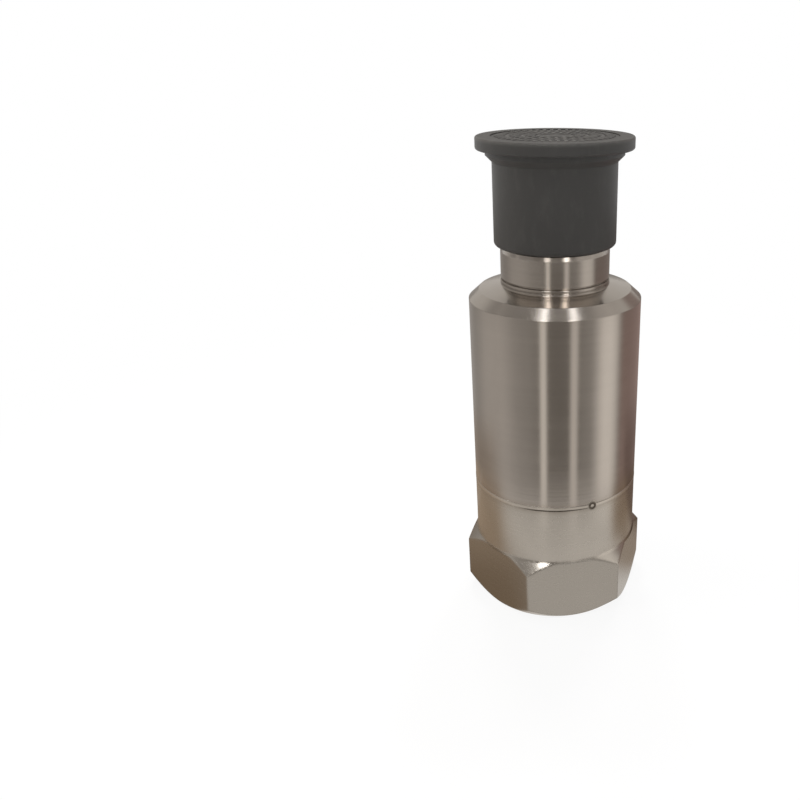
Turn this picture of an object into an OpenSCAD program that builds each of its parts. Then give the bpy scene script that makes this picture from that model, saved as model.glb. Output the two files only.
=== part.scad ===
// Industrial vibration sensor: a stainless can on a hexagon base, with a two pin
// connector under a push-on dust cap. Sizes are in millimetres, the axis is +Z and
// the mounting face lies at z = 0.

/* [Base] */
// Wrench size of the hexagon, across flats
hex_across_flats = 25; // [24:0.1:26]
// Height of the wrench flats
hex_height = 10.1; // [9:0.05:12]
// Diameter of the turned mounting face
mount_face_d = 24.4; // [22:0.1:26]
// Slope of the turned bevels on the hexagon's corners, in degrees
corner_slope = 45; // [30:1:50]
// Height of the upper bevel's top edge above the flats
bevel_rise = 0.2; // [0.1:0.05:0.5]
// Height of the weld joint between base and housing
weld_height = 19.55; // [17.5:0.05:24]
// Height of the spigot that centres the housing
spigot_height = 2; // [1:0.1:3]
// Tapping size of the mounting thread
tapping_d = 5.5; // [4.2:0.1:7]
// Depth of the mounting hole
hole_depth = 7.5; // [5:0.1:10]
// Depth of the countersink at the hole's mouth
countersink = 0.5; // [0.2:0.1:1]

/* [Housing] */
// Outside diameter of the round body
body_d = 25.4; // [24:0.1:30]
// Thickness of the housing wall
housing_wall = 1.6; // [0.8:0.1:2]
// Width of the bevel round the shoulder
shoulder_bevel = 1.5; // [0.8:0.05:2]
// Slope of the shoulder's bevel above the horizontal, in degrees
bevel_angle = 42; // [30:1:50]
// Slope of the shoulder inside its bevel, in degrees
shoulder_angle = 13; // [5:1:20]
// Height of the collar above the shoulder
collar_height = 0.74; // [0.62:0.02:1.2]
// How far the collar stands out past the connector neck
collar_lip = 0.06; // [0.02:0.02:0.3]
// Height of the collar's band above its scribed line
collar_band = 0.36; // [0.2:0.02:0.4]
// Width and depth of the line scribed round the collar
collar_line = 0.16; // [0.1:0.02:0.2]
// Drop from the shoulder's rim to the inside of the roof
roof_drop = 1.35; // [0.8:0.05:2]
// Bevel on both edges of the weld joint
weld_bevel = 0.15; // [0.05:0.05:0.4]

/* [Connector] */
// Diameter of the connector neck and its thread
neck_d = 15.875; // [13:0.025:17]
// Length of the plain neck above the weld groove
neck_height = 3.75; // [2:0.05:6]
// Width of the ledge by which the shell sits on the collar
plug_ledge = 0.94; // [0.6:0.02:1.2]
// Height of the weld groove at the neck's foot
groove_height = 0.3; // [0.2:0.05:0.6]
// Depth of the weld groove and of the thread's edge bevels
groove_depth = 0.34; // [0.1:0.02:0.5]
// Taper of the neck's upper end, on the radius
neck_taper = 0.15; // [0.05:0.05:0.3]
// Height of the taper at the neck's upper end
neck_taper_height = 0.6; // [0.4:0.05:0.8]
// Depth of the relief below the thread
relief_depth = 0.64; // [0.3:0.02:0.8]
// Width of the relief below the thread
relief_height = 2; // [1.5:0.1:3]
// Length of the connector thread
thread_length = 11.2; // [8:0.1:14]
// Wall of the shell round the socket, at the thread
socket_wall = 1.6; // [1.2:0.05:2]
// Step from the socket in to the bore that holds the glass
seal_step = 0.9; // [0.5:0.05:1.2]
// Width of the lip that the glass rests on
seal_lip = 0.6; // [0.3:0.05:1]
// Height of the lip that the glass rests on
seal_lip_height = 1.6; // [0.8:0.1:2.5]
// Thickness of the glass seal
seal_height = 4; // [3:0.1:5]
// Width of the keyway in the socket wall
keyway_width = 1.6; // [1:0.1:2.5]
// Depth of the keyway in the socket wall
keyway_depth = 0.5; // [0.2:0.05:0.8]
// Diameter of a contact pin
pin_d = 1.6; // [1:0.1:2]
// Distance between the two contact pins
pin_pitch = 4.8; // [4:0.1:5.5]
// Length of a pin above the glass
pin_reach = 7.5; // [5:0.1:9]
// Length of a pin below the glass
pin_tail = 2.4; // [1.8:0.1:3]
// Diameter of the collar by which a pin rests on the glass
pin_collar_d = 2.4; // [2.2:0.1:3]
// Height of a pin's collar
pin_collar_height = 0.8; // [0.4:0.1:1.2]

/* [Cap] */
// Thickness of the cap's wall
cap_wall = 0.77; // [0.5:0.01:1.5]
// How far the flange stands out past the wall
cap_flange = 2.25; // [1.5:0.05:4]
// Thickness of the flange
cap_flange_height = 1.75; // [1.1:0.05:2]
// How far the step below the flange stands out past the wall
cap_step = 0.9; // [0.4:0.05:1.4]
// Height of the step below the flange
cap_step_height = 1.65; // [1.2:0.05:2.5]
// Thickness of the roof below the recess
cap_roof = 2.3; // [1.5:0.1:3]
// Depth of the recess in the top
cap_recess = 0.3; // [0.2:0.05:1]
// Width of the rim round the recess
cap_rim = 2.1; // [1:0.1:4]
// Rounding of the cap's lower edge
cap_edge = 0.6; // [0.2:0.05:0.65]
// Rounding of the flange's edges
cap_flange_edge = 0.3; // [0.1:0.05:0.5]
// Space between the neck and the cap's lower edge
cap_gap = 0.8; // [0.7:0.1:1.8]

/* [Sensing element] */
// Space between the spigot's edge and the base insulator
insulator_margin = 0.6; // [0.3:0.1:1]
// Thickness of the base insulator
insulator_height = 1; // [0.5:0.1:2]
// Thickness of the flange of the sensor post
post_flange_height = 2; // [1.5:0.1:3]
// Diameter of the sensor post
post_d = 4; // [3:0.1:5]
// Length of the post above its nut
post_end = 0.8; // [0.4:0.1:1.5]
// Wall of the sleeve that insulates the post
sleeve_wall = 0.6; // [0.3:0.05:1]
// Thickness of one piezo ring
piezo_height = 2; // [1:0.1:3]
// How far the mass stands out past the piezo rings
mass_overhang = 0.7; // [0.2:0.1:1.5]
// Thickness of the electrode
electrode_height = 0.3; // [0.1:0.05:0.5]
// Width of the electrode's tab
tab_width = 1.6; // [1.2:0.1:2.5]
// Height of the seismic mass
mass_height = 6; // [4:0.1:9]
// Space between the mass and the shield
mass_space = 2.2; // [1.8:0.1:2.6]
// Thickness of the washer under the nut
washer_height = 0.5; // [0.3:0.1:1]
// Height of the preload nut
nut_height = 2.4; // [1.6:0.1:3.5]
// Wrench size of the preload nut, across flats
nut_across_flats = 7; // [6.2:0.1:8]
// Wall of the inner shield
shield_wall = 0.4; // [0.2:0.05:0.8]
// Space between the post's end and the shield's roof
shield_space = 0.9; // [0.5:0.1:2]
// Space between the post's flange and the shield
flange_space = 0.7; // [0.3:0.1:1]
// Wall of the insulating liner round the shield
liner_wall = 0.45; // [0.2:0.05:0.8]

/* [Electronics] */
// Height of the spacers below the circuit board
spacer_height = 3; // [2.5:0.1:5]
// Diameter of a spacer
spacer_d = 3; // [2.6:0.1:4]
// Number of spacers
spacers = 3; // [3:1:4]
// Distance of the spacers from the board's edge
spacer_inset = 2; // [1.6:0.1:3]
// Thickness of the circuit board
board_height = 1.6; // [0.8:0.1:2]
// Free height between the board and the roof
head_room = 2.8; // [2.5:0.1:5]
// Diameter of a board screw
screw_d = 1.6; // [1.2:0.1:2]
// Length of a board screw below the board
screw_length = 2; // [1:0.1:2.3]
// Height of a board screw's head
screw_head_height = 0.8; // [0.5:0.1:1.2]
// Length of the amplifier chip
chip_length = 4.9; // [3:0.1:5.5]
// Width of the amplifier chip
chip_width = 3.9; // [3:0.1:4.5]
// Height of the amplifier chip
chip_height = 1.5; // [1:0.1:1.8]
// Length of a small resistor or capacitor
chip_part_length = 2; // [1:0.1:2.2]
// Diameter of a lead
lead_d = 0.7; // [0.4:0.05:1]

/* [Fits] */
// Radial clearance between turned parts that are pressed or brazed together
press_fit = 0.02; // [0.01:0.01:0.05]
// Radial clearance between parts that slide together
slide_fit = 0.05; // [0.02:0.01:0.1]
// Radial clearance of the cap over the thread
cap_fit = 0.1; // [0.05:0.01:0.3]

/* [Hidden] */
$fn = 96;
over = 1;
steel = "#a39b91";
satin_steel = "#958d83";
black_plastic = "#343331";
glass_green = "#4f6a5c";
gold = "#c9a24a";
ceramic_white = "#e4dfd2";
piezo_grey = "#b9ad98";
brass = "#b08d4c";
tungsten = "#5d5a57";
film_amber = "#b5762a";
board_green = "#2f6b45";
chip_black = "#26262a";
wire_red = "#9c2f28";

// Radii of the base and the housing
body_r = body_d / 2;
corner_r = hex_across_flats / sqrt(3);
bore_r = body_r - housing_wall;
spigot_r = bore_r - slide_fit;
hole_r = tapping_d / 2;

// Radii inside the housing, each inside the one before
insulator_r = spigot_r - insulator_margin;
liner_r = insulator_r;
shield_r = liner_r - liner_wall - slide_fit;
shield_bore_r = shield_r - shield_wall;
post_flange_r = shield_bore_r - flange_space;
mass_r = shield_bore_r - mass_space;
piezo_r = mass_r - mass_overhang;
post_r = post_d / 2;
sleeve_bore_r = post_r + slide_fit;
sleeve_r = sleeve_bore_r + sleeve_wall;
ring_bore_r = sleeve_r + slide_fit;
lead_r = lead_d / 2;
lead_place = (mass_r + shield_bore_r) / 2;
board_r = insulator_r;
spacer_place = board_r - spacer_inset;
screw_r = screw_d / 2;

// Heights of the sensing element, each on top of the one before
spigot_top = weld_height + spigot_height;
insulator_top = spigot_top + insulator_height;
flange_top = insulator_top + post_flange_height;
electrode_z = flange_top + piezo_height;
upper_ring_z = electrode_z + electrode_height;
mass_z = upper_ring_z + piezo_height;
washer_z = mass_z + mass_height;
nut_z = washer_z + washer_height;
post_top = nut_z + nut_height + post_end;
shield_top = post_top + shield_space + shield_wall;
board_z = shield_top + spacer_height;
board_top = board_z + board_height;
roof_z = board_top + head_room;

// Radii and heights of the shoulder and its collar
rim_z = roof_z + roof_drop;
neck_r = neck_d / 2;
collar_r = neck_r + collar_lip;
shoulder_r = body_r - shoulder_bevel;
shoulder_z = rim_z + shoulder_bevel * tan(bevel_angle);
shoulder_top = shoulder_z + (shoulder_r - collar_r) * tan(shoulder_angle);
collar_top = shoulder_top + collar_height;

// Radii and heights of the connector
plug_r = neck_r - plug_ledge;
socket_r = neck_r - socket_wall;
seal_r = socket_r - seal_step;
seal_lip_r = seal_r - seal_lip;
neck_z = collar_top + groove_height;
neck_top = neck_z + neck_height;
thread_z = neck_top + relief_height;
shell_top = thread_z + thread_length;
seal_z = roof_z + seal_lip_height;
seal_top = seal_z + seal_height;
pin_r = pin_d / 2;
pin_tail_z = seal_z - pin_tail;

// Radii and heights of the cap
cap_bore_r = neck_r + cap_fit;
cap_r = cap_bore_r + cap_wall;
cap_flange_r = cap_r + cap_flange;
cap_z = neck_top + cap_gap;
cap_top = shell_top + cap_roof + cap_recess;
cap_flange_z = cap_top - cap_flange_height;
cap_step_z = cap_flange_z - cap_step_height;

// A ring or disc that stands on z
module ring(outer_r, inner_r, z, height) {
    translate([0, 0, z])
    difference() {
        cylinder(r = outer_r, h = height);
        if (inner_r > 0) {
            translate([0, 0, -over]) cylinder(r = inner_r, h = height + 2 * over);
        }
    }
}

// Copies set out round the axis at one radius
module around(count, radius) {
    for (i = [0 : count - 1]) {
        rotate([0, 0, i * 360 / count]) translate([radius, 0, 0]) children();
    }
}

// The two places of the contact pins
module at_pins() {
    for (side = [-1, 1]) {
        translate([side * pin_pitch / 2, 0, 0]) children();
    }
}

// Half section of a disc whose outer edges are rounded
module round_edge_section(outer_r, z, height, low_edge, high_edge) {
    widest = max(low_edge, high_edge);
    translate([0, z]) {
        square([outer_r - widest, height]);
        translate([0, low_edge]) square([outer_r, height - low_edge - high_edge]);
        square([outer_r - low_edge, height - high_edge]);
        translate([0, low_edge]) square([outer_r - high_edge, height - low_edge]);
        translate([outer_r - low_edge, low_edge]) circle(r = low_edge);
        translate([outer_r - high_edge, height - high_edge]) circle(r = high_edge);
    }
}

// Half section of the base before its flats are milled: mounting face, lower bevel, stock for the
// hexagon's corners, upper bevel, round body and spigot
module base_section() {
    face_r = mount_face_d / 2;
    stock_r = corner_r + over;
    bevel_top = hex_height + bevel_rise;
    polygon([
        [0, 0],
        [face_r, 0],
        [stock_r, (stock_r - face_r) * tan(corner_slope)],
        [stock_r, bevel_top - (stock_r - body_r) * tan(corner_slope)],
        [body_r, bevel_top],
        [body_r, weld_height - weld_bevel],
        [body_r - weld_bevel, weld_height],
        [spigot_r, weld_height],
        [spigot_r, spigot_top],
        [0, spigot_top]
    ]);
}

// One wrench flat, as the stock that the cutter takes away
module flat_cut() {
    translate([hex_across_flats / 2, -corner_r, -over]) cube([corner_r, 2 * corner_r, hex_height + over]);
}

module base() {
    color(satin_steel)
    difference() {
        rotate_extrude() base_section();
        for (i = [0 : 5]) {
            rotate([0, 0, 30 + 60 * i]) flat_cut();
        }
        translate([0, 0, -over]) cylinder(r = hole_r, h = hole_depth + over);
        translate([0, 0, -over])
        cylinder(r1 = hole_r + countersink + over, r2 = hole_r, h = countersink + over);
    }
}

// Half section of the turned housing, open at the bottom, with a line scribed round its collar
module housing_section() {
    plug_bore_r = plug_r + press_fit;
    difference() {
        polygon([
            [bore_r, weld_height],
            [body_r - weld_bevel, weld_height],
            [body_r, weld_height + weld_bevel],
            [body_r, rim_z],
            [shoulder_r, shoulder_z],
            [collar_r, shoulder_top],
            [collar_r, collar_top],
            [plug_bore_r, collar_top],
            [plug_bore_r, roof_z],
            [bore_r, roof_z]
        ]);
        translate([collar_r - collar_line, collar_top - collar_band - collar_line])
        square([collar_line + over, collar_line]);
    }
}

module housing() {
    color(steel) rotate_extrude() housing_section();
}

// Half section of the connector shell: plug, weld groove, tapered neck, relief, thread and socket
module shell_section() {
    groove_r = neck_r - groove_depth;
    relief_r = neck_r - relief_depth;
    taper_r = neck_r - neck_taper;
    taper_top = neck_top + neck_taper_height;
    polygon([
        [seal_lip_r, roof_z],
        [plug_r, roof_z],
        [plug_r, collar_top],
        [groove_r, collar_top],
        [groove_r, neck_z],
        [neck_r, neck_z],
        [neck_r, neck_top],
        [taper_r, taper_top],
        [relief_r, taper_top + taper_r - relief_r],
        [relief_r, thread_z - groove_depth],
        [neck_r, thread_z],
        [neck_r, shell_top - groove_depth],
        [neck_r - groove_depth, shell_top],
        [socket_r, shell_top],
        [socket_r, seal_top],
        [seal_r, seal_top],
        [seal_r, seal_z],
        [seal_lip_r, seal_z]
    ]);
}

module connector_shell() {
    color(steel)
    difference() {
        rotate_extrude() shell_section();
        translate([-keyway_width / 2, 0, seal_top])
        cube([keyway_width, socket_r + keyway_depth, shell_top]);
    }
}

module glass_seal() {
    color(glass_green)
    difference() {
        translate([0, 0, seal_z]) cylinder(r = seal_r - press_fit, h = seal_height);
        at_pins() translate([0, 0, seal_z - over]) cylinder(r = pin_r + press_fit, h = seal_height + 2 * over);
    }
}

module contact_pins() {
    pin_top = seal_top + pin_reach;
    color(gold)
    at_pins() {
        translate([0, 0, pin_tail_z]) cylinder(r = pin_r, h = pin_top - pin_r - pin_tail_z);
        translate([0, 0, pin_top - pin_r]) cylinder(r1 = pin_r, r2 = pin_r / 2, h = pin_r);
        translate([0, 0, seal_top]) cylinder(r = pin_collar_d / 2, h = pin_collar_height);
    }
}

// Half section of the cap: skirt with a rounded lower edge, step, flange and recessed top
module cap_section() {
    difference() {
        union() {
            round_edge_section(cap_r, cap_z, cap_top - cap_z - cap_flange_edge, cap_edge, cap_flange_edge);
            round_edge_section(cap_flange_r, cap_flange_z, cap_flange_height, cap_flange_edge, cap_flange_edge);
            polygon([
                [0, cap_step_z],
                [cap_r, cap_step_z],
                [cap_r + cap_step, cap_step_z + cap_step],
                [cap_r + cap_step, cap_flange_z + cap_flange_edge],
                [0, cap_flange_z + cap_flange_edge]
            ]);
        }
        translate([0, cap_z - over]) square([cap_bore_r, shell_top - cap_z + over]);
        translate([0, cap_top - cap_recess]) square([cap_flange_r - cap_rim, cap_recess + over]);
    }
}

module cap() {
    color(black_plastic) rotate_extrude() cap_section();
}

module base_insulator() {
    color(ceramic_white) ring(insulator_r, 0, spigot_top, insulator_height);
}

module sensor_post() {
    color(steel) {
        translate([0, 0, insulator_top]) cylinder(r = post_flange_r, h = post_flange_height);
        translate([0, 0, insulator_top]) cylinder(r = post_r, h = post_top - insulator_top);
    }
}

module insulating_sleeve() {
    color(film_amber) ring(sleeve_r, sleeve_bore_r, flange_top, washer_z - flange_top);
}

module piezo_ring(z) {
    color(piezo_grey) ring(piezo_r, ring_bore_r, z, piezo_height);
}

module lower_piezo_ring() {
    piezo_ring(flange_top);
}

module upper_piezo_ring() {
    piezo_ring(upper_ring_z);
}

module electrode() {
    tab_end = lead_place + tab_width / 2;
    color(brass)
    difference() {
        union() {
            translate([0, 0, electrode_z]) cylinder(r = piezo_r, h = electrode_height);
            translate([0, -tab_width / 2, electrode_z]) cube([tab_end, tab_width, electrode_height]);
        }
        translate([0, 0, electrode_z - over]) cylinder(r = ring_bore_r, h = electrode_height + 2 * over);
    }
}

module seismic_mass() {
    color(tungsten) ring(mass_r, ring_bore_r, mass_z, mass_height);
}

module preload_washer() {
    color(steel) ring(nut_across_flats / sqrt(3), post_r + slide_fit, washer_z, washer_height);
}

module preload_nut() {
    color(steel)
    difference() {
        translate([0, 0, nut_z]) cylinder(r = nut_across_flats / sqrt(3), h = nut_height, $fn = 6);
        translate([0, 0, nut_z - over]) cylinder(r = post_r + press_fit, h = nut_height + 2 * over);
    }
}

// The shield is a deep drawn cup, upside down, with a hole for the signal lead
module inner_shield() {
    color(brass)
    difference() {
        ring(shield_r, 0, insulator_top, shield_top - insulator_top);
        ring(shield_bore_r, 0, insulator_top - over, shield_top - shield_wall - insulator_top + over);
        translate([lead_place, 0, insulator_top]) cylinder(r = lead_d, h = shield_top);
    }
}

module shield_liner() {
    color(film_amber) ring(liner_r, liner_r - liner_wall, insulator_top, shield_top - insulator_top);
}

// Spacers are turned half a step away from the signal lead
module board_spacers() {
    color(brass)
    rotate([0, 0, 180 / spacers])
    around(spacers, spacer_place)
    difference() {
        translate([0, 0, shield_top]) cylinder(r = spacer_d / 2, h = spacer_height);
        translate([0, 0, board_z - screw_length - slide_fit])
        cylinder(r = screw_r + press_fit, h = screw_length + slide_fit + over);
    }
}

module circuit_board() {
    color(board_green)
    difference() {
        ring(board_r, 0, board_z, board_height);
        rotate([0, 0, 180 / spacers])
        around(spacers, spacer_place)
        translate([0, 0, board_z - over]) cylinder(r = screw_r + slide_fit, h = board_height + 2 * over);
    }
}

module board_screws() {
    color(steel)
    rotate([0, 0, 180 / spacers])
    around(spacers, spacer_place) {
        translate([0, 0, board_z - screw_length]) cylinder(r = screw_r, h = screw_length + board_height);
        translate([0, 0, board_top]) cylinder(r = screw_d, h = screw_head_height);
    }
}

// An amplifier chip behind the leads, and a row of small parts in front of them
module circuit_parts() {
    row_y = -(pin_pitch / 2 + chip_part_length);
    part_width = chip_part_length * 0.6;
    color(chip_black)
    translate([-chip_length / 2, lead_d + pin_r, board_top]) cube([chip_length, chip_width, chip_height]);
    color(ceramic_white)
    for (i = [-1 : 1]) {
        translate([i * chip_part_length * 1.5 - part_width / 2, row_y, board_top])
        cube([part_width, chip_part_length, part_width]);
    }
}

// The signal lead runs straight up from the electrode's tab to the board
module signal_lead() {
    lead_z = electrode_z + electrode_height;
    color(wire_red) translate([lead_place, 0, lead_z]) cylinder(r = lead_r, h = board_z - lead_z);
}

module output_leads() {
    color(wire_red)
    at_pins() translate([0, 0, board_top]) cylinder(r = lead_r, h = pin_tail_z - board_top);
}

base();
housing();
connector_shell();
glass_seal();
contact_pins();
cap();
base_insulator();
sensor_post();
insulating_sleeve();
lower_piezo_ring();
electrode();
upper_piezo_ring();
seismic_mass();
preload_washer();
preload_nut();
inner_shield();
shield_liner();
board_spacers();
circuit_board();
board_screws();
circuit_parts();
signal_lead();
output_leads();
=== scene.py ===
"""Looks of a stainless vibration sensor: its turned and milled steel, weld, dust cap and studio."""

import math

import bpy
import numpy as np
from bpy.props import FloatProperty, FloatVectorProperty, IntProperty, PointerProperty
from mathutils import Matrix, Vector


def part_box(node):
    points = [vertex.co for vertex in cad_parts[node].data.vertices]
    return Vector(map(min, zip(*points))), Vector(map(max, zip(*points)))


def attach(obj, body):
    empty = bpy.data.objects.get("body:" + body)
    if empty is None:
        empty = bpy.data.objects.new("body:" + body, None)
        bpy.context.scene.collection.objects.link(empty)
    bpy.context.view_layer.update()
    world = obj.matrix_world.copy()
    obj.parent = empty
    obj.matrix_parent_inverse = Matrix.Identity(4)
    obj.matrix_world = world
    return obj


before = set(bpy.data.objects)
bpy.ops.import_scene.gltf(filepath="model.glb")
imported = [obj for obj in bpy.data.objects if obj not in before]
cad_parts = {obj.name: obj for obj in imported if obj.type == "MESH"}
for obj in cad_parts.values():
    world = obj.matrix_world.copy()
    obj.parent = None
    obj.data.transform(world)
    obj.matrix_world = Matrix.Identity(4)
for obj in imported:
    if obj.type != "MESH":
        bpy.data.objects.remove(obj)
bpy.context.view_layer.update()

bl_info = {
    "name": "Vibration Sensor",
    "version": (1, 0, 0),
    "blender": (4, 5, 0),
    "location": "View3D > Sidebar > Sensor",
    "description": "Dresses a stainless vibration sensor and sets up its studio",
    "category": "Object",
}

IMAGE_WIDTH = 800
FILM_WIDTH = 36.0
MM = 0.001
DEGREES = 180 / math.pi
WHITE = (1.0, 1.0, 1.0)
BODY = "root"

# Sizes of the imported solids, in metres. The hexagon's flats end just under FLATS_TOP, and the bevels
# of its corners lie about BEVEL_MIDDLE.
_, base_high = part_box("base")
housing_low, housing_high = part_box("housing")
_, cap_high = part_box("cap")
BODY_RADIUS = housing_high.x
WELD_HEIGHT = housing_low.z
FLATS_TOP = 0.52 * WELD_HEIGHT
BEVEL_MIDDLE = 0.48 * WELD_HEIGHT
HOUSING_TOP = housing_high.z
CORNER_RADIUS = base_high.x
FLAT_DISTANCE = CORNER_RADIUS * math.cos(math.pi / 6)
CAP_RADIUS = cap_high.x
CAP_TOP = cap_high.z


def colour(name, what, default):
    """A colour property in linear red, green and blue."""
    kind = {"subtype": "COLOR", "size": 3, "min": 0, "max": 1}
    return FloatVectorProperty(name=name, description=what, default=default, **kind)


def length(name, what, default):
    """A length property in metres."""
    return FloatProperty(name=name, description=what, default=default, unit="LENGTH", precision=5)


def angle(name, what, degrees):
    """An angle property, written here in degrees and stored in radians."""
    return FloatProperty(name=name, description=what, default=math.radians(degrees), subtype="ANGLE")


def power(name, what, default):
    """A lamp's power in watts."""
    return FloatProperty(name=name, description=what, default=default, unit="POWER", min=0)


def number(name, what, default):
    """A plain number that isn't negative."""
    return FloatProperty(name=name, description=what, default=default, min=0)


class SensorCamera(bpy.types.PropertyGroup):
    """Where the camera stands and how it is framed"""

    azimuth: angle("Azimuth", "Turn of the camera round the sensor, from the front flat", -13.0)
    distance: length("Distance", "Level distance from the sensor's axis", 119.0 * MM)
    height: length("Height", "Height above the floor", 82.6 * MM)
    pitch: angle("Pitch", "Downward tilt of the camera", 23.13)
    focal_pixels: number("Focal length", "Focal length in pixels of the image", 830.4)
    axis_pixel: number("Axis column", "Image column on which the sensor's axis stands", 555.0)


class SensorStudio(bpy.types.PropertyGroup):
    """Floor, lamps, background and reflection cards"""

    floor_size: length("Floor size", "Side of the square floor", 6.0)
    floor_colour: colour("Floor colour", "Colour of the floor", (0.85, 0.85, 0.85))
    floor_white: number("Floor whiteness", "Share of plain white seen in the floor near the sensor", 0.9)
    shadow_reach: length("Shadow reach", "Distance at which the floor's shadows have faded to white", 0.16)
    sky: number("Sky", "Strength of the soft light from all round", 0.45)
    lamp_power: power("Lamp power", "Power of one ceiling lamp", 2.0)
    lamp_size: length("Lamp size", "Diameter of a ceiling lamp", 0.13)
    lamp_distance: length("Lamp distance", "Distance of the lamps from the sensor", 0.8)
    soft_power: power("Soft box power", "Power of the soft box", 3.5)
    side_power: power("Side box power", "Power of the soft box at the left", 2.8)
    side_colour: colour("Side box colour", "Colour of the soft box at the left", (1.0, 0.92, 0.83))
    soft_size: length("Soft box size", "Side of the soft box", 1.2)
    wall_radius: length("Wall radius", "Distance of the card wall from the axis", 46 * MM)
    wall_foot: length("Wall foot", "Height of the card wall's lower edge", 0.5 * MM)
    wall_top: length("Wall top", "Height of the card wall's upper edge", 53 * MM)
    mat_radius: length("Mat radius", "Radius of the card that lies round the base", 62 * MM)
    dome_radius: length("Dome radius", "Radius of the card dome overhead", 0.4)
    lamp_light: number("Lamp light", "Brightness of the two lamps painted overhead on the dome", 3.0)
    spot_light: number("Spot light", "Brightness of the lamp painted in front on the dome", 11.0)


class SensorSteel(bpy.types.PropertyGroup):
    """Finish of the steel pieces"""

    bright: colour("Bright steel", "Colour of the turned housing and connector", (0.44, 0.405, 0.37))
    satin: colour("Satin steel", "Colour of the base", (0.46, 0.43, 0.39))
    bright_roughness: number("Bright roughness", "Roughness of the turned housing", 0.2)
    satin_roughness: number("Satin roughness", "Roughness of the base", 0.28)
    grain: number("Grain", "How far the turning marks stretch a highlight along the axis", 0.65)
    edge: length("Edge break", "Radius of the housing's broken edges", 0.12 * MM)
    base_edge: length("Base edge break", "Radius of the base's broken edges", 0.65 * MM)


class SensorWeld(bpy.types.PropertyGroup):
    """The bead between base and housing"""

    half_width: length("Half width", "Half width of the bead", 0.34 * MM)
    proud: length("Height", "How far the bead stands out of the body", 0.025 * MM)
    ripples: IntProperty(name="Ripples", description="Ripples round the bead", default=230, min=8)
    stop_turn: angle("Stop turn", "Turn of the weld's end round the body, from the front flat", 12.9)
    stop_radius: length("Stop radius", "Radius of the crater at the weld's end", 0.84 * MM)
    tint: colour("Heat tint", "Colour of the heat tint beside the bead", (0.2, 0.15, 0.1))


class SensorCap(bpy.types.PropertyGroup):
    """The moulded dust cap"""

    plastic: colour("Plastic", "Colour of the cap", (0.0335, 0.0322, 0.0305))
    roughness: number("Roughness", "Roughness of the cap", 0.5)
    rim: length("Rim", "Width of the rim round the recess", 2.1 * MM)
    recess: length("Recess", "Depth of the recess in the top", 0.3 * MM)
    ground: length("Ground", "Height of the relief's ground over the recess floor", 0.18 * MM)
    relief: length("Relief", "Height of the moulded ribs over their ground", 0.16 * MM)
    ribs: IntProperty(name="Ribs", description="Ribs in the outer of the three belts", default=46, min=6)


GROUPS = {
    "sensor_camera": SensorCamera,
    "sensor_studio": SensorStudio,
    "sensor_steel": SensorSteel,
    "sensor_weld": SensorWeld,
    "sensor_cap": SensorCap,
}


class Value:
    """A number in a shader. Python's operators on it add Math nodes."""

    def __init__(self, shader, socket):
        self.shader = shader
        self.socket = socket

    def math(self, operation, *terms):
        """A Math node on the terms."""
        node = self.shader.node("ShaderNodeMath", {"operation": operation}, dict(enumerate(terms)))
        return Value(self.shader, node.outputs[0])

    def __add__(self, other):
        return self.math("ADD", self, other)

    def __radd__(self, other):
        return self.math("ADD", other, self)

    def __sub__(self, other):
        return self.math("SUBTRACT", self, other)

    def __rsub__(self, other):
        return self.math("SUBTRACT", other, self)

    def __mul__(self, other):
        return self.math("MULTIPLY", self, other)

    def __rmul__(self, other):
        return self.math("MULTIPLY", other, self)

    def __truediv__(self, other):
        return self.math("DIVIDE", self, other)

    def __neg__(self):
        return self.math("MULTIPLY", self, -1.0)

    def __abs__(self):
        return self.math("ABSOLUTE", self)

    def most(self, other):
        """The greater of two numbers."""
        return self.math("MAXIMUM", self, other)

    def above(self, edge, blend):
        """A smooth step from 0 to 1 as the value passes edge, over the width blend."""
        limits = {"Value": self, "From Min": edge - blend / 2, "From Max": edge + blend / 2}
        node = self.shader.node("ShaderNodeMapRange", {"interpolation_type": "SMOOTHSTEP"}, limits)
        return Value(self.shader, node.outputs[0])

    def near(self, middle, reach, blend):
        """1 within reach of the middle and 0 away from it, with a smooth edge of the width blend."""
        return 1 - abs(self - middle).above(reach, blend)


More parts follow.
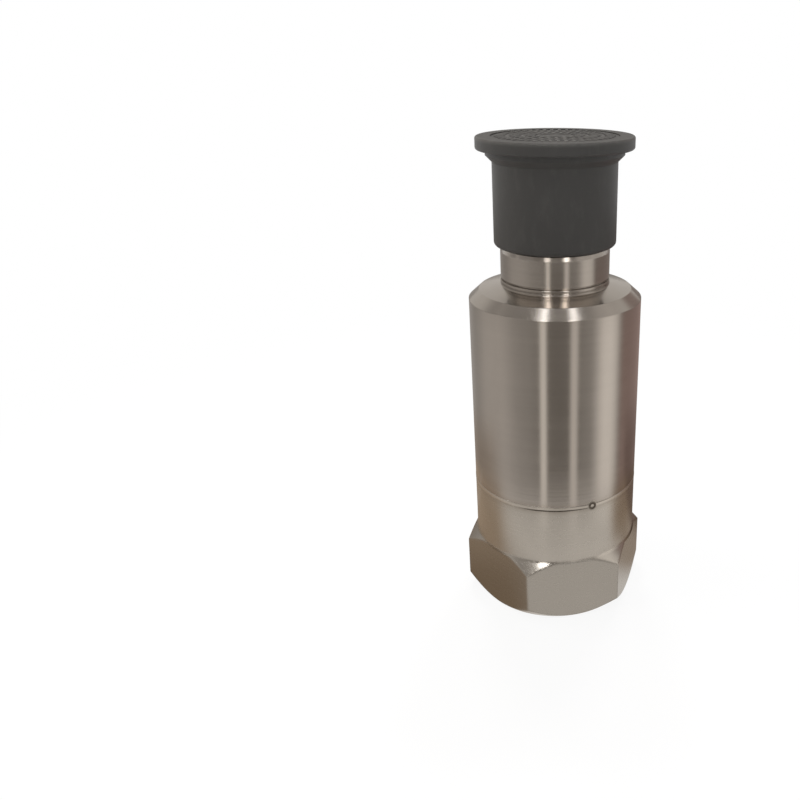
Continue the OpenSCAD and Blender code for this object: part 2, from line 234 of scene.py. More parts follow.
class Shader:
    """The node tree of one material or of the world."""

    def __init__(self, owner):
        owner.use_nodes = True
        self.tree = owner.node_tree
        self.tree.nodes.clear()

    def node(self, kind, settings=(), sockets=()):
        """Adds a node, sets its own settings, and fills or links its sockets."""
        node = self.tree.nodes.new(kind)
        for key, value in dict(settings).items():
            setattr(node, key, value)
        for key, value in dict(sockets).items():
            self.fill(node.inputs[key], value)
        return node

    def fill(self, socket, value):
        """Links a socket to a value or an output, or sets its number or colour."""
        if isinstance(value, Value):
            self.tree.links.new(value.socket, socket)
        elif isinstance(value, bpy.types.NodeSocket):
            self.tree.links.new(value, socket)
        elif socket.type == "RGBA":
            socket.default_value = (*value, 1.0)
        else:
            socket.default_value = value

    def vector_math(self, operation, sockets):
        """The outputs of a Vector Math node."""
        return self.node("ShaderNodeVectorMath", {"operation": operation}, sockets).outputs

    def place(self):
        """Object coordinates in millimetres, as one vector."""
        coordinates = self.node("ShaderNodeTexCoord").outputs["Object"]
        return self.vector_math("SCALE", {0: coordinates, "Scale": 1 / MM})["Vector"]

    def axes(self, vector):
        """The x, y and z of a vector."""
        parts = self.node("ShaderNodeSeparateXYZ", (), {0: vector}).outputs
        return [Value(self, part) for part in parts]

    def stretched(self, vector, scales):
        """A vector times one number for each axis."""
        return self.vector_math("MULTIPLY", {0: vector, 1: scales})["Vector"]

    def noise(self, vector, scale, detail=3.0, roughness=0.5):
        """Smooth noise between 0 and 1."""
        sockets = {"Vector": vector, "Scale": scale, "Detail": detail, "Roughness": roughness}
        return Value(self, self.node("ShaderNodeTexNoise", (), sockets).outputs[0])

    def speckle(self, vector, scale):
        """Distance to the nearest of many scattered points, in cells."""
        node = self.node("ShaderNodeTexVoronoi", (), {"Vector": vector, "Scale": scale})
        return Value(self, node.outputs["Distance"])

    def mix(self, factor, first, second):
        """A colour between two colours, which the Mix node takes in its sockets 6 and 7."""
        sockets = {0: factor, 6: first, 7: second}
        return self.node("ShaderNodeMix", {"data_type": "RGBA"}, sockets).outputs[2]

    def panels(self, tone, layers):
        """A ground tone with panels laid over it one after the other, each a mask and a colour."""
        for mask, panel in layers:
            tone = self.mix(mask, tone, panel)
        return tone

    def bump(self, height, depth, normal):
        """A normal from a height between 0 and 1, the depth of its relief in metres and a first normal."""
        sockets = {"Height": height, "Strength": 1.0, "Distance": depth, "Normal": normal}
        return self.node("ShaderNodeBump", (), sockets).outputs[0]

    def broken_edge(self, radius):
        """A normal that rounds sharp edges over a small radius."""
        return self.node("ShaderNodeBevel", {"samples": 6}, {"Radius": radius}).outputs[0]

    def surface(self, sockets):
        """A Principled shader on the material's output."""
        self.output(self.node("ShaderNodeBsdfPrincipled", (), sockets).outputs[0])

    def glow(self, tone, strength):
        """A shader that gives off light."""
        return self.node("ShaderNodeEmission", (), {0: tone, 1: strength}).outputs[0]

    def blend(self, factor, first, second):
        """A shader between two shaders."""
        return self.node("ShaderNodeMixShader", (), {0: factor, 1: first, 2: second}).outputs[0]

    def output(self, shader, kind="ShaderNodeOutputMaterial"):
        """Links a shader to the output of the material or of the world."""
        self.node(kind, (), {0: shader})

    def seen(self):
        """1 for camera, glossy and transmission rays, and 0 for the rays that light surfaces."""
        path = self.node("ShaderNodeLightPath").outputs
        names = ("Is Camera Ray", "Is Glossy Ray", "Is Transmission Ray")
        camera, glossy, through = (Value(self, path[name]) for name in names)
        return camera.most(glossy).most(through)


def new_material(name):
    """An empty material and its shader."""
    material = bpy.data.materials.new(name)
    return material, Shader(material)


def dress(material, *nodes):
    """Puts one material on CAD nodes."""
    for name in nodes:
        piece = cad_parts[name]
        piece.data.materials.clear()
        piece.data.materials.append(material)


def shade(tone, factor):
    """A colour made darker or lighter."""
    return tuple(min(1.0, factor * part) for part in tone)


def axis_distance(x, y):
    """Distance from the sensor's axis."""
    return x.math("SQRT", x * x + y * y)


def turn_degrees(side, front):
    """Turn round the axis from the front towards the right, in degrees."""
    return side.math("ARCTAN2", side, front) * DEGREES


def turning_marks(shader, vector):
    """Fine lines round the axis: noise squeezed along the axis and drawn out round it, at two pitches."""
    fine = shader.noise(shader.stretched(vector, (0.015, 0.015, 3.2)), 1.0, 2.0)
    coarse = shader.noise(shader.stretched(vector, (0.01, 0.01, 0.8)), 1.0, 3.0)
    return fine * 0.6 + coarse * 0.4


def heat_shade(z, stain):
    """How far the weld's heat has tinted the steel, fading over a millimetre from the joint."""
    away = abs(z - WELD_HEIGHT / MM)
    return (1 - away.above(0.6, 1.2)) * stain * 0.5


def bright_steel(settings, tint):
    """Turned stainless steel, its highlights drawn out along the axis, with wipe marks and faint stains."""
    material, shader = new_material("bright_turned_steel")
    vector = shader.place()
    _, _, z = shader.axes(vector)
    marks = turning_marks(shader, vector)
    stain = shader.noise(vector, 0.18, 4.0)
    wipe = shader.noise(shader.stretched(vector, (0.55, 0.55, 0.05)), 1.0, 3.0)
    pale = tuple(settings.bright)
    worn = stain * 0.35 + wipe * 0.25 + marks * 0.4
    tone = shader.mix(worn, shade(pale, 0.82), shade(pale, 1.14))
    tone = shader.mix(heat_shade(z, stain), tone, tint)
    shader.surface({
        "Base Color": tone,
        "Metallic": 1.0,
        "Roughness": settings.bright_roughness + (marks - 0.5) * 0.14 + (stain - 0.5) * 0.1,
        "Anisotropic": settings.grain,
        "Anisotropic Rotation": 0.25,
        "Normal": shader.bump(marks, 0.005 * MM, shader.broken_edge(settings.edge)),
    })
    return material


def on_flats(shader, vector, z):
    """1 on the hexagon's flats: where the farthest of three pairs of faces is as far out as the flats."""
    reach = None
    for turn in (30, 90, 150):
        way = (math.cos(math.radians(turn)), math.sin(math.radians(turn)), 0)
        out = abs(Value(shader, shader.vector_math("DOT_PRODUCT", {0: vector, 1: way})["Value"]))
        reach = out if reach is None else reach.most(out)
    return reach.near(FLAT_DISTANCE / MM, 0.02, 0.02) * (1 - z.above(FLATS_TOP / MM, 0.1))


def satin_steel(settings, tint):
    """Satin stainless steel: turned marks on the round parts, plain milled flats and smoother bevels."""
    material, shader = new_material("satin_milled_steel")
    vector = shader.place()
    _, _, z = shader.axes(vector)
    marks = turning_marks(shader, vector)
    stain = shader.noise(vector, 0.22, 4.0)
    grit = shader.noise(vector, 5.0, 3.0)
    flats = on_flats(shader, vector, z)
    slope = z.near(BEVEL_MIDDLE / MM, 1.0, 0.1) * (1 - flats)
    pale = tuple(settings.satin)
    tone = shader.mix(stain * 0.8 + marks * 0.2, shade(pale, 0.88), shade(pale, 1.12))
    tone = shader.mix(flats * 0.8, tone, shade(pale, 0.77))
    tone = shader.mix(heat_shade(z, stain), tone, tint)
    relief = (marks * 0.7 + grit * 0.3) * (1 - flats) + (grit * 0.25 + 0.3) * flats
    roughness = settings.satin_roughness + (marks - 0.5) * 0.06 + (grit - 0.5) * 0.05
    shader.surface({
        "Base Color": tone,
        "Metallic": 1.0,
        "Roughness": roughness - slope * 0.1,
        "Anisotropic": settings.grain * 0.5,
        "Anisotropic Rotation": 0.25,
        "Normal": shader.bump(relief, 0.0011 * MM, shader.broken_edge(settings.base_edge)),
    })
    return material


def moulded_plastic(settings):
    """Matte moulded plastic with a fine grain, scuffs and dust, and a painted highlight, patchy with the
    scuffs, on the top rim and on the rib crests.
    """
    material, shader = new_material("matte_black_plastic")
    vector = shader.place()
    x, y, z = shader.axes(vector)
    away = axis_distance(x, y)
    grain = shader.noise(vector, 9.0, 3.0)
    scuff = shader.noise(shader.stretched(vector, (1.0, 1.0, 0.35)), 0.8, 5.0, 0.65)
    speck = 1 - shader.speckle(vector, 1.6).above(0.07, 0.06)
    # Painted highlight along the cap's top outer edge.
    rim = away.above(CAP_RADIUS / MM - 0.3, 0.5) * z.above(CAP_TOP / MM - 0.35, 0.5)
    ground = (CAP_TOP - settings.recess + settings.ground) / MM
    inside = 1 - away.above((CAP_RADIUS - settings.rim) / MM, 0.1)
    # Painted highlight on the crests of the relief's ribs.
    crest_highlight = inside * z.above(ground + 0.1, 0.08)
    tone = tuple(settings.plastic)
    dust = (0.12, 0.115, 0.11)
    finish = shader.mix(scuff.above(0.6, 0.25) * 0.25, tone, shade(tone, 1.9))
    # The crest and rim colours are painted highlights, patchy with the scuffs.
    finish = shader.mix(crest_highlight * (0.2 + scuff * 0.8), finish, shade(tone, 3.2))
    finish = shader.mix(speck * 0.2, finish, dust)
    finish = shader.mix(rim * (0.3 + scuff * 0.5), finish, shade(tone, 3.0))
    shader.surface({
        "Base Color": finish,
        "Roughness": settings.roughness + (grain - 0.5) * 0.2 + (scuff - 0.5) * 0.12,
        "Specular IOR Level": 0.4,
        "Normal": shader.bump(grain * 0.7 + scuff * 0.3, 0.012 * MM, shader.broken_edge(0.15 * MM)),
    })
    return material


def machined_metal(name, tone, roughness):
    """Plain machined metal for the inner pieces, with fine turning marks."""
    material, shader = new_material(name)
    vector = shader.place()
    marks = turning_marks(shader, vector)
    stain = shader.noise(vector, 0.5, 3.0)
    shader.surface({
        "Base Color": shader.mix(stain, shade(tone, 0.75), tone),
        "Metallic": 1.0,
        "Roughness": roughness + (marks - 0.5) * 0.15,
        "Normal": shader.bump(marks, 0.004 * MM, shader.broken_edge(0.05 * MM)),
    })
    return material


def grained_solid(name, tone, roughness, grain_scale):
    """Ceramic, board, film or wire cover: an even tone with grain and soft blotches."""
    material, shader = new_material(name)
    vector = shader.place()
    grain = shader.noise(vector, grain_scale, 3.0)
    blotch = shader.noise(vector, 0.4, 2.0)
    shader.surface({
        "Base Color": shader.mix(grain * 0.5 + blotch * 0.5, shade(tone, 0.8), tone),
        "Roughness": roughness + (grain - 0.5) * 0.15,
        "Normal": shader.bump(grain, 0.006 * MM, shader.broken_edge(0.05 * MM)),
    })
    return material


def weld_metal(settings):
    """Weld metal: a pale crown painted as the highlight on the bead's upper half, a lower edge darkened by
    painted shade and by oxide, and oxide on the upper edge near the weld's end; the oxide is most on the
    last stretch of the weld.
    """
    material, shader = new_material("weld_metal")
    vector = shader.place()
    x, y, z = shader.axes(vector)
    # The pale crown is a painted highlight on the bead's upper half; the dark colour is oxide and also the
    # painted shade under the bead.
    crown = (0.54, 0.5, 0.45)
    oxide = (0.04, 0.032, 0.025)
    patch = shader.noise(vector, 0.9, 3.0)
    fleck = shader.noise(vector, 7.0, 2.0)
    turn = turn_degrees(x, -y)
    end = math.degrees(settings.stop_turn)
    lift = z - WELD_HEIGHT / MM
    hot = turn.near(end - 26, 22, 24)
    # Painted shade along the bead's lower edge, deepened by oxide along the last stretch of the weld.
    shaded_toe_and_oxide = (1 - lift.above(-0.12, 0.1)) * (0.15 + hot * 0.8 + (patch - 0.5) * 0.5)
    shoulder = lift.above(0.24, 0.08) * (turn.near(end + 2, 18, 20) * 0.55 + 0.1)
    shader.surface({
        "Base Color": shader.mix(shaded_toe_and_oxide.most(shoulder), crown, oxide),
        "Metallic": 1.0,
        "Roughness": 0.32 + (fleck - 0.5) * 0.2,
        "Normal": shader.bump(fleck, 0.004 * MM, shader.broken_edge(0.02 * MM)),
    })
    return material


def crater_metal(settings):
    """Weld crater: a dark oxide ring round a bright centre, by distance from the crater's middle."""
    material, shader = new_material("weld_crater")
    vector = shader.place()
    centre = (0.4, 0.37, 0.33)
    oxide = (0.04, 0.03, 0.02)
    middle = tuple(polar(BODY_RADIUS, settings.stop_turn, WELD_HEIGHT) / MM)
    away = Value(shader, shader.vector_math("DISTANCE", {0: vector, 1: middle})["Value"])
    fleck = shader.noise(vector, 8.0, 2.0)
    dark = away.above(0.24, 0.22) * (1 - away.above(0.64, 0.36)) * (0.3 + fleck)
    shader.surface({
        "Base Color": shader.mix(dark, centre, oxide),
        "Metallic": 1.0,
        "Roughness": 0.35 + (fleck - 0.5) * 0.2 + dark * 0.2,
        "Normal": shader.bump(fleck, 0.004 * MM, shader.broken_edge(0.02 * MM)),
    })
    return material


def skin(name, rings, first_pole=None, last_pole=None):
    """A closed mesh over rings of points, an array of rings by points by three: four-sided faces join
    each ring to the next, and a fan of triangles closes each end on its pole. With no poles the last
    ring joins the first. The faces are turned outwards by the sign of the volume that they enclose."""
    count, around = rings.shape[:2]
    points = rings.reshape(-1, 3)
    here = np.arange(count * around).reshape(count, around)
    looped = first_pole is None
    rows = np.vstack([here, here[:1]]) if looped else here
    beside = np.roll(rows, -1, axis=1)
    quads = np.stack([rows[:-1], beside[:-1], beside[1:], rows[1:]], axis=-1).reshape(-1, 4)
    fans = np.empty((0, 3), int)
    if not looped:
        points = np.vstack([points, [first_pole, last_pole]])
        first, last = np.full(around, count * around), np.full(around, count * around + 1)
        start = np.stack([first, beside[0], here[0]], axis=-1)
        end = np.stack([last, here[-1], beside[-1]], axis=-1)
        fans = np.vstack([start, end])
    corners = np.vstack([quads[:, [0, 1, 2]], quads[:, [0, 2, 3]], fans])
    a, b, c = (points[corners[:, i]] for i in range(3))
    if np.einsum("ij,ij->i", a, np.cross(b, c)).sum() < 0:
        quads, fans = quads[:, ::-1], fans[:, ::-1]
    return new_piece(name, points, quads.tolist() + fans.tolist())


def sheet(name, points):
    """An open mesh over a grid of points, an array of rows by columns by three."""
    rows, columns = points.shape[:2]
    here = np.arange(rows * columns).reshape(rows, columns)
    quads = np.stack([here[:-1, :-1], here[:-1, 1:], here[1:, 1:], here[1:, :-1]], axis=-1).reshape(-1, 4)
    return new_piece(name, points.reshape(-1, 3), quads.tolist())


def new_piece(name, points, faces):
    """A smooth mesh object at the origin, with its place in its mesh."""
    mesh = bpy.data.meshes.new(name)
    mesh.from_pydata(points.tolist(), [], faces)
    mesh.polygons.foreach_set("use_smooth", np.ones(len(mesh.polygons), bool))
    piece = bpy.data.objects.new(name, mesh)
    bpy.context.scene.collection.objects.link(piece)
    return piece


def add_to_sensor(piece, material):
    """Gives a new piece its material and the body that it rides on."""
    piece.data.materials.append(material)
    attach(piece, BODY)


def polar(radius, turn, height):
    """Points at a radius, a turn from the front flat towards +X, and a height."""
    return np.stack(np.broadcast_arrays(radius * np.sin(turn), -radius * np.cos(turn), height), axis=-1)


def full_turn(steps=180):
    """Turns all the way round the axis, as one row that ends where it starts."""
    return np.linspace(0, 2 * np.pi, steps + 1)[None, :]


def bead_surface(settings, per_ripple=6, sides=24):
    """The weld bead: a flattened ring carried round the body. Its section is an ellipse about the body's
    surface, half width by height outside it and deeper inside, and a wave round the ring swells it, its
    crests slanting from the lower side to the upper one."""
    buried = 0.15 * MM
    turn = np.linspace(0, 2 * np.pi, settings.ripples * per_ripple, endpoint=False)[None, :]
    section = np.linspace(0, 2 * np.pi, sides, endpoint=False)[:, None]
    wave = np.sin(settings.ripples * turn + 1.2 * np.sin(section))
    depth = np.where(np.cos(section) > 0, settings.proud, buried)
    radius = BODY_RADIUS + depth * np.cos(section) * (1 + 0.2 * wave)
    height = WELD_HEIGHT + settings.half_width * np.sin(section)
    return skin("weld_bead", polar(radius, turn, height))


def crater_surface(settings, sides=40, steps=16):
    """The crater at the weld's end: a button bent onto the body. From its middle outwards the height is
    a ring-shaped swell less a dimple, on a low dome, and the underside closes it inside the steel."""
    buried = 0.3 * MM
    reach = np.linspace(0.04, 1.0, steps)
    swell = 0.09 * MM * np.exp(-(((reach - 0.55) / 0.2) ** 2))
    dimple = 0.03 * MM * np.exp(-((reach / 0.3) ** 2))
    dome = 0.02 * MM * (1 - reach**2)
    crown = swell - dimple + dome
    away = settings.stop_radius * np.concatenate([reach, reach[::-1]])[:, None]
    rise = np.concatenate([crown, np.full(steps, -buried)])[:, None]
    spin = np.linspace(0, 2 * np.pi, sides, endpoint=False)[None, :]
    turn = settings.stop_turn + away * np.cos(spin) / BODY_RADIUS
    height = WELD_HEIGHT + away * np.sin(spin)
    poles = polar(BODY_RADIUS + rise[[0, -1], 0], settings.stop_turn, WELD_HEIGHT)
    return skin("weld_stop", polar(BODY_RADIUS + rise, turn, height), poles[0], poles[1])


def relief_surface(settings, sides=560, steps=80):
    """The moulded relief in the cap's recess: a disc whose height over its ground is the highest of three
    belts of short ribs, a ridge inside each belt and a gate mark in the middle. A belt is a flat-topped
    bump across the radius times a clipped cosine round the axis, and has fewer ribs the smaller it is.
    The edge falls to the ground, and the underside closes the disc below the recess floor."""
    gap = 0.05 * MM
    buried = 0.1 * MM
    outer = CAP_RADIUS - settings.rim - gap
    ground = CAP_TOP - settings.recess + settings.ground
    reach = np.linspace(0.01, 1.0, steps)[:, None]
    spin = np.linspace(0, 2 * np.pi, sides, endpoint=False)[None, :]
    middle = np.array([0.86, 0.62, 0.38])[:, None, None]
    count = np.round(settings.ribs * middle / middle[0])
    across = np.exp(-(((reach - middle) / 0.08) ** 6))
    belts = across * np.clip(2 * np.cos(count * spin + 9 * middle), 0, 1)
    ridges = 0.7 * np.exp(-(((reach - middle + 0.12) / 0.02) ** 2))
    gate = 0.9 * np.exp(-((reach / 0.1) ** 4))
    shape = np.maximum(np.maximum(belts, ridges).max(axis=0), gate)
    edge = 1 - reach**60
    height = ground + settings.relief * shape * edge
    under = CAP_TOP - settings.recess - buried
    rings = np.concatenate([polar(outer * reach, spin, height), polar(outer, spin, under)])
    poles = np.array([[0, 0, height[0].mean()], [0, 0, under]])
    return skin("cap_relief", rings, poles[0], poles[1])


class SENSOR_OT_stage(bpy.types.Operator):
    """Floor, background, lamps, reflection cards and camera"""

    bl_idname = "sensor.stage"
    bl_label = "Stage"

    def execute(self, context):
        scene = context.scene
        scene.view_settings.view_transform = "Standard"
        self.studio = scene.sensor_studio
        self.view = scene.sensor_camera
        self.add_camera(scene)
        self.add_sky(scene)
        self.add_floor()
        self.add_lamps(scene)
        self.add_card_wall()
        self.add_card_mat()
        self.add_card_dome()
        return {"FINISHED"}

    def add_camera(self, scene):
        """The camera, level but for its pitch, shifted so that the sensor's axis stands on its column."""
        view = self.view
        data = bpy.data.cameras.new("photo_view")
        data.sensor_width = FILM_WIDTH
        data.lens = view.focal_pixels / IMAGE_WIDTH * data.sensor_width
        data.shift_x = 0.5 - view.axis_pixel / IMAGE_WIDTH
        data.clip_start = 1 * MM
        camera = bpy.data.objects.new("photo_view", data)
        camera.location = polar(view.distance, view.azimuth, view.height)
        camera.rotation_euler = (math.pi / 2 - view.pitch, 0, view.azimuth)
        scene.collection.objects.link(camera)
        scene.camera = camera

    def add_sky(self, scene):
        """A white background where it is seen, and soft light elsewhere."""
        scene.world = bpy.data.worlds.new("studio_sky")
        shader = Shader(scene.world)
        light = shader.node("ShaderNodeBackground", (), {0: WHITE, 1: self.studio.sky}).outputs[0]
        backdrop = shader.node("ShaderNodeBackground", (), {0: WHITE, 1: 1.0}).outputs[0]
        shader.output(shader.blend(shader.seen(), light, backdrop), "ShaderNodeOutputWorld")

    def add_floor(self):
        """A flat floor that keeps the shadow near the sensor and fades to the background's white."""
        studio = self.studio
        side = np.array([-0.5, 0.5]) * studio.floor_size
        y, x = np.meshgrid(side, side, indexing="ij")
        floor = sheet("floor", np.stack([x, y, 0 * x], axis=-1))
        material, shader = new_material("pale_floor")
        right, back, _ = shader.axes(shader.place())
        far = (axis_distance(right, back) * (MM / studio.shadow_reach)).above(0.6, 0.8)
        matte = shader.node("ShaderNodeBsdfDiffuse", (), {0: tuple(studio.floor_colour)}).outputs[0]
        lift = shader.seen() * (studio.floor_white + far * (1 - studio.floor_white))
        shader.output(shader.blend(lift, matte, shader.glow(WHITE, 1.0)))
        floor.data.materials.append(material)

    def add_lamps(self, scene):
        """Two ceiling lamps beyond the sensor, and soft boxes overhead and at the left."""
        studio = self.studio
        turn = self.view.azimuth
        ahead = Vector((-math.sin(turn), math.cos(turn), 0))
        right = Vector((math.cos(turn), math.sin(turn), 0))
        up = Vector((0, 0, 1))
        aim = Vector((0, 0, 0.5 * CAP_TOP))
        for name, aside in (("ceiling_lamp_left", -0.09), ("ceiling_lamp_right", 0.14)):
            way = (aside * right + 0.4 * ahead + 0.9 * up) * studio.lamp_distance
            self.add_lamp(scene, name, aim, way, studio.lamp_power, studio.lamp_size, "DISK")
        self.add_lamp(scene, "soft_box", aim, 1.1 * up, studio.soft_power, studio.soft_size, "SQUARE")
        beside = (0.4 * up - 0.8 * right) * studio.lamp_distance
        side_size = 0.5 * studio.soft_size
        side_box = self.add_lamp(scene, "side_box", aim, beside, studio.side_power, side_size, "SQUARE")
        side_box.data.color = studio.side_colour

    def add_lamp(self, scene, name, aim, way, watts, size, shape):
        """An area lamp that lights matte surfaces; the cards stand for it in reflections."""
        data = bpy.data.lights.new(name, "AREA")
        data.shape = shape
        data.size = size
        data.energy = watts
        lamp = bpy.data.objects.new(name, data)
        lamp.location = aim + way
        lamp.rotation_euler = way.to_track_quat("Z", "Y").to_euler()
        lamp.visible_glossy = False
        scene.collection.objects.link(lamp)
        return lamp

    def add_card(self, name, points, tone):
        """A card that only shiny surfaces see, with a tone worked out by a function of its shader."""
        card = sheet(name, points)
        material, shader = new_material(name)
        shader.output(shader.glow(tone(shader), 1.0))
        card.data.materials.append(material)
        card.visible_camera = False
        card.visible_diffuse = False
        card.visible_transmission = False
        card.visible_shadow = False

    def bearings(self, shader):
        """Distances to the right of the sensor's axis, towards the camera and up, in millimetres."""
        x, y, z = shader.axes(shader.place())
        turn = self.view.azimuth
        side = x * math.cos(turn) + y * math.sin(turn)
        front = x * math.sin(turn) - y * math.cos(turn)
        return side, front, z

    def add_card_wall(self):
        """The wall that the round body mirrors: grey, with a pale panel at the left, a dark one in front,
        a lit one at the right and a warm dark one behind it, a brown foot at the left, a darker top, a
        dark foot at the right behind, and two lit strips."""
        studio = self.studio
        height = np.array([studio.wall_foot, studio.wall_top])[:, None]

        def wall_tone(shader):
            side, front, up = self.bearings(shader)
            turn = turn_degrees(side, front)
            grey = (0.42, 0.395, 0.37)
            brown_foot = up.near(0, 12, 12) * (1 - turn.above(-80, 30)) * 0.55
            dim_top = up.above(39, 6) * (0.3 + 0.4 * turn.above(84, 10))
            dark_foot = (1 - up.above(14, 14)) * turn.near(126, 24, 12) * 0.6
            left = turn.near(-78, 26, 36)
            middle = turn.near(5, 25, 34)
            right = turn.near(66, 14.5, 22)
            right_behind = turn.near(120, 33.5, 17)
            left_strip = turn.near(-13.4, 3.6, 3.6)
            right_strip = turn.near(22, 4.2, 5)
            return shader.panels(grey, (
                (left, (0.635, 0.6, 0.565)),
                (middle, (0.24, 0.22, 0.2)),
                (right, (1.1, 1.05, 0.99)),
                (right_behind, (0.36, 0.265, 0.24)),
                (brown_foot, (0.29, 0.21, 0.145)),
                (dim_top, (0.23, 0.21, 0.192)),
                (dark_foot, (0.14, 0.095, 0.08)),
                (left_strip, (1.08, 1.03, 0.96)),
                (right_strip, (0.88, 0.83, 0.78)),
            ))

        self.add_card("card_wall", polar(studio.wall_radius, full_turn(), height), wall_tone)

    def add_card_mat(self):
        """The mat that the base mirrors: pale in front and close behind, brown at both sides, paler away
        from the base at the left, and dark brown at the right behind."""
        reach = np.array([0.5 * CORNER_RADIUS, self.studio.mat_radius])[:, None]
        over_floor = 0.05 * MM

        def mat_tone(shader):
            side, front, _ = self.bearings(shader)
            pale = (0.82, 0.785, 0.745)
            brown = shader.mix((-side).above(22, 14), (0.33, 0.245, 0.17), (0.46, 0.355, 0.26))
            left = (1 - (front - side * 0.12).above(18.7, 15)) * (1 - side.above(-5, 6))
            right = side.above(27, 8) * (1 - front.above(9, 10))
            near_right = side.above(13, 5) * (1 - front.above(1, 8)) * 0.8
            beside = left.most(right).most(near_right) * front.above(-24, 12)
            behind = abs(side).near(30, 22, 6) * (1 - front.above(-20, 10))
            right_behind = side.near(26, 16, 6) * (1 - front.above(-13, 8))
            return shader.panels(pale, (
                (beside.most(behind), brown),
                (right_behind, (0.17, 0.12, 0.09)),
            ))

        self.add_card("card_mat", polar(reach, full_turn(), over_floor), mat_tone)

    def add_card_dome(self):
        """The dome that the slopes mirror: a plain ceiling, paler at the right, in front and behind, dark
        low in front, brown low at the right behind, and lit at both sides, with two strips and three
        lamps. Sides, fronts and heights are shares of the dome's radius from its centre."""
        studio = self.studio
        radius = studio.dome_radius
        rise = np.linspace(0, math.radians(89.5), 40)[:, None]
        height = HOUSING_TOP + radius * np.sin(rise)

        def dome_tone(shader):
            side, front, up = (part * (MM / radius) for part in self.bearings(shader))
            up = up - HOUSING_TOP / radius
            across = side / up
            along = front / up
            turn = turn_degrees(side, front)
            ceiling = (0.35, 0.33, 0.31)
            right = side.above(0.52, 0.16)
            in_front = along.near(0.7, 0.22, 0.15)
            behind = (-front).above(0.35, 0.5) * (1 - up.above(0.62, 0.3))
            low_front = front.above(0.7, 0.2) * (1 - up.above(0.4, 0.2))
            low_right = turn.near(138, 12, 10) * (1 - up.above(0.5, 0.2))
            both_sides = abs(turn).near(72, 30, 20) * up.near(0.58, 0.13, 0.12)
            strip_rise = up.near(0.52, 0.27, 0.2)
            left_strip = turn.near(-16, 5, 4) * strip_rise
            right_strip = turn.near(24, 5, 4) * strip_rise
            left_lamp = across.near(-0.15, 0.042, 0.025) * along.near(0.16, 0.25, 0.2)
            right_lamp = across.near(0.28, 0.056, 0.025) * along.near(0.13, 0.25, 0.2)
            front_lamp = across.near(-0.27, 0.085, 0.04) * along.near(0.66, 0.26, 0.1)
            return shader.panels(ceiling, (
                (right, (0.63, 0.595, 0.56)),
                (in_front, (0.76, 0.725, 0.69)),
                (behind, (0.7, 0.67, 0.63)),
                (low_front, (0.25, 0.23, 0.21)),
                (low_right, (0.36, 0.29, 0.265)),
                (both_sides, (0.95, 0.9, 0.84)),
                (left_strip, (4.2, 4.0, 3.8)),
                (right_strip, (7.5, 7.2, 6.9)),
                (left_lamp.most(right_lamp), (studio.lamp_light,) * 3),
                (front_lamp, (studio.spot_light,) * 3),
            ))

        self.add_card("card_dome", polar(radius * np.cos(rise), full_turn(), height), dome_tone)


class SENSOR_OT_steel(bpy.types.Operator):
    """Finish of the housing, the connector shell and the base"""

    bl_idname = "sensor.steel"
    bl_label = "Steel body"

    def execute(self, context):
        settings = context.scene.sensor_steel
        tint = tuple(context.scene.sensor_weld.tint)
        dress(bright_steel(settings, tint), "housing", "connector_shell")
        dress(satin_steel(settings, tint), "base")
        return {"FINISHED"}


class SENSOR_OT_weld(bpy.types.Operator):
    """The weld bead round the body and the crater at its end"""

    bl_idname = "sensor.weld"
    bl_label = "Weld"

    def execute(self, context):
        settings = context.scene.sensor_weld
        add_to_sensor(bead_surface(settings), weld_metal(settings))
        add_to_sensor(crater_surface(settings), crater_metal(settings))
        return {"FINISHED"}


class SENSOR_OT_cap(bpy.types.Operator):
    """The dust cap's plastic and the moulded relief in its recess"""

    bl_idname = "sensor.cap"
    bl_label = "Dust cap"

    def execute(self, context):
        settings = context.scene.sensor_cap
        plastic = moulded_plastic(settings)
        dress(plastic, "cap")
        add_to_sensor(relief_surface(settings), plastic)
        return {"FINISHED"}


class SENSOR_OT_contacts(bpy.types.Operator):
    """Finish of the glass seal and the contact pins"""

    bl_idname = "sensor.contacts"
    bl_label = "Contacts"

    def execute(self, context):
        dress(grained_solid("sealing_glass", (0.05, 0.12, 0.08), 0.12, 3.0), "glass_seal")
        dress(machined_metal("gold_plate", (0.78, 0.55, 0.2), 0.2), "contact_pins")
        return {"FINISHED"}


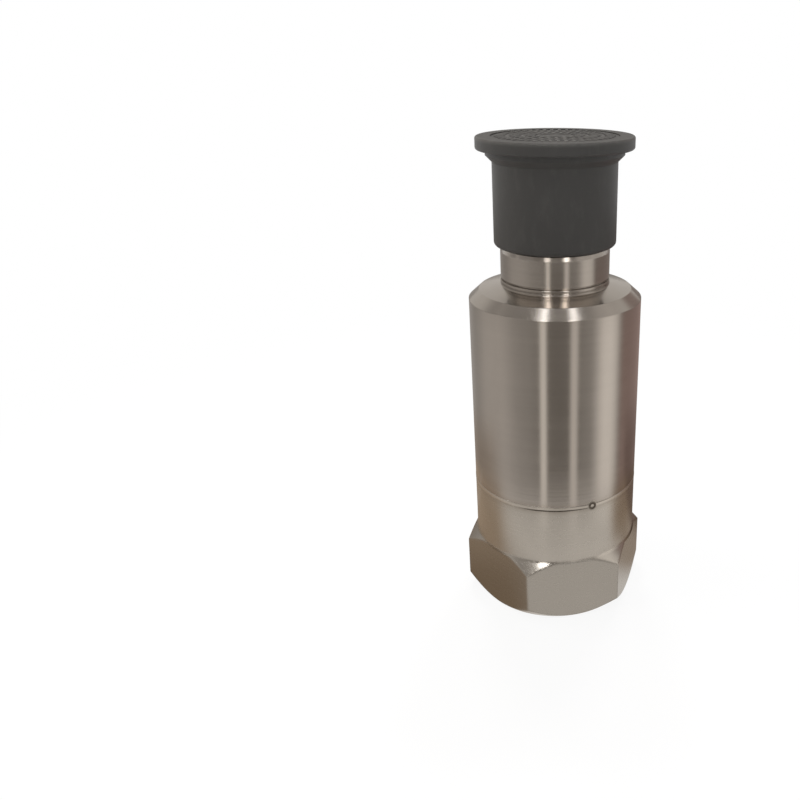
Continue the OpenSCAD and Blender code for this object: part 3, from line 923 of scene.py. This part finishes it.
class SENSOR_OT_element(bpy.types.Operator):
    """Finish of the sensing element's pieces"""

    bl_idname = "sensor.element"
    bl_label = "Sensing element"

    def execute(self, context):
        steel = machined_metal("inner_steel", (0.5, 0.48, 0.46), 0.3)
        brass = machined_metal("plain_brass", (0.62, 0.44, 0.17), 0.3)
        piezo = grained_solid("piezo_ceramic", (0.46, 0.4, 0.31), 0.6, 8.0)
        film = grained_solid("amber_film", (0.42, 0.17, 0.03), 0.3, 4.0)
        dress(steel, "sensor_post", "preload_washer", "preload_nut", "board_screws")
        dress(machined_metal("tungsten_alloy", (0.22, 0.21, 0.2), 0.38), "seismic_mass")
        dress(brass, "electrode", "inner_shield", "board_spacers")
        dress(grained_solid("white_ceramic", (0.76, 0.73, 0.66), 0.5, 6.0), "base_insulator")
        dress(piezo, "lower_piezo_ring", "upper_piezo_ring")
        dress(film, "insulating_sleeve", "shield_liner")
        return {"FINISHED"}


class SENSOR_OT_electronics(bpy.types.Operator):
    """Finish of the circuit board, its parts and the leads"""

    bl_idname = "sensor.electronics"
    bl_label = "Electronics"

    def execute(self, context):
        dress(grained_solid("green_board", (0.02, 0.14, 0.055), 0.4, 5.0), "circuit_board")
        dress(grained_solid("component_black", (0.018, 0.018, 0.02), 0.45, 7.0), "circuit_parts")
        dress(grained_solid("red_wire", (0.4, 0.025, 0.018), 0.4, 3.0), "signal_lead", "output_leads")
        return {"FINISHED"}


OPERATORS = (
    SENSOR_OT_stage,
    SENSOR_OT_steel,
    SENSOR_OT_weld,
    SENSOR_OT_cap,
    SENSOR_OT_contacts,
    SENSOR_OT_element,
    SENSOR_OT_electronics,
)


class SENSOR_PT_panel(bpy.types.Panel):
    """Lists the sensor's operators and their settings"""

    bl_idname = "SENSOR_PT_panel"
    bl_label = "Vibration Sensor"
    bl_space_type = "VIEW_3D"
    bl_region_type = "UI"
    bl_category = "Sensor"

    def draw(self, context):
        for operator in OPERATORS:
            self.layout.operator(operator.bl_idname)
        for name, group in GROUPS.items():
            box = self.layout.box()
            for key in group.__annotations__:
                box.prop(getattr(context.scene, name), key)


def register():
    for name, group in GROUPS.items():
        bpy.utils.register_class(group)
        setattr(bpy.types.Scene, name, PointerProperty(type=group))
    for operator in OPERATORS:
        bpy.utils.register_class(operator)
    bpy.utils.register_class(SENSOR_PT_panel)


def unregister():
    bpy.utils.unregister_class(SENSOR_PT_panel)
    for operator in reversed(OPERATORS):
        bpy.utils.unregister_class(operator)
    for name, group in GROUPS.items():
        delattr(bpy.types.Scene, name)
        bpy.utils.unregister_class(group)


def main():
    register()
    bpy.ops.sensor.stage()
    bpy.ops.sensor.steel()
    bpy.ops.sensor.weld()
    bpy.ops.sensor.cap()
    bpy.ops.sensor.contacts()
    bpy.ops.sensor.element()
    bpy.ops.sensor.electronics()


if __name__ == "__main__":
    main()
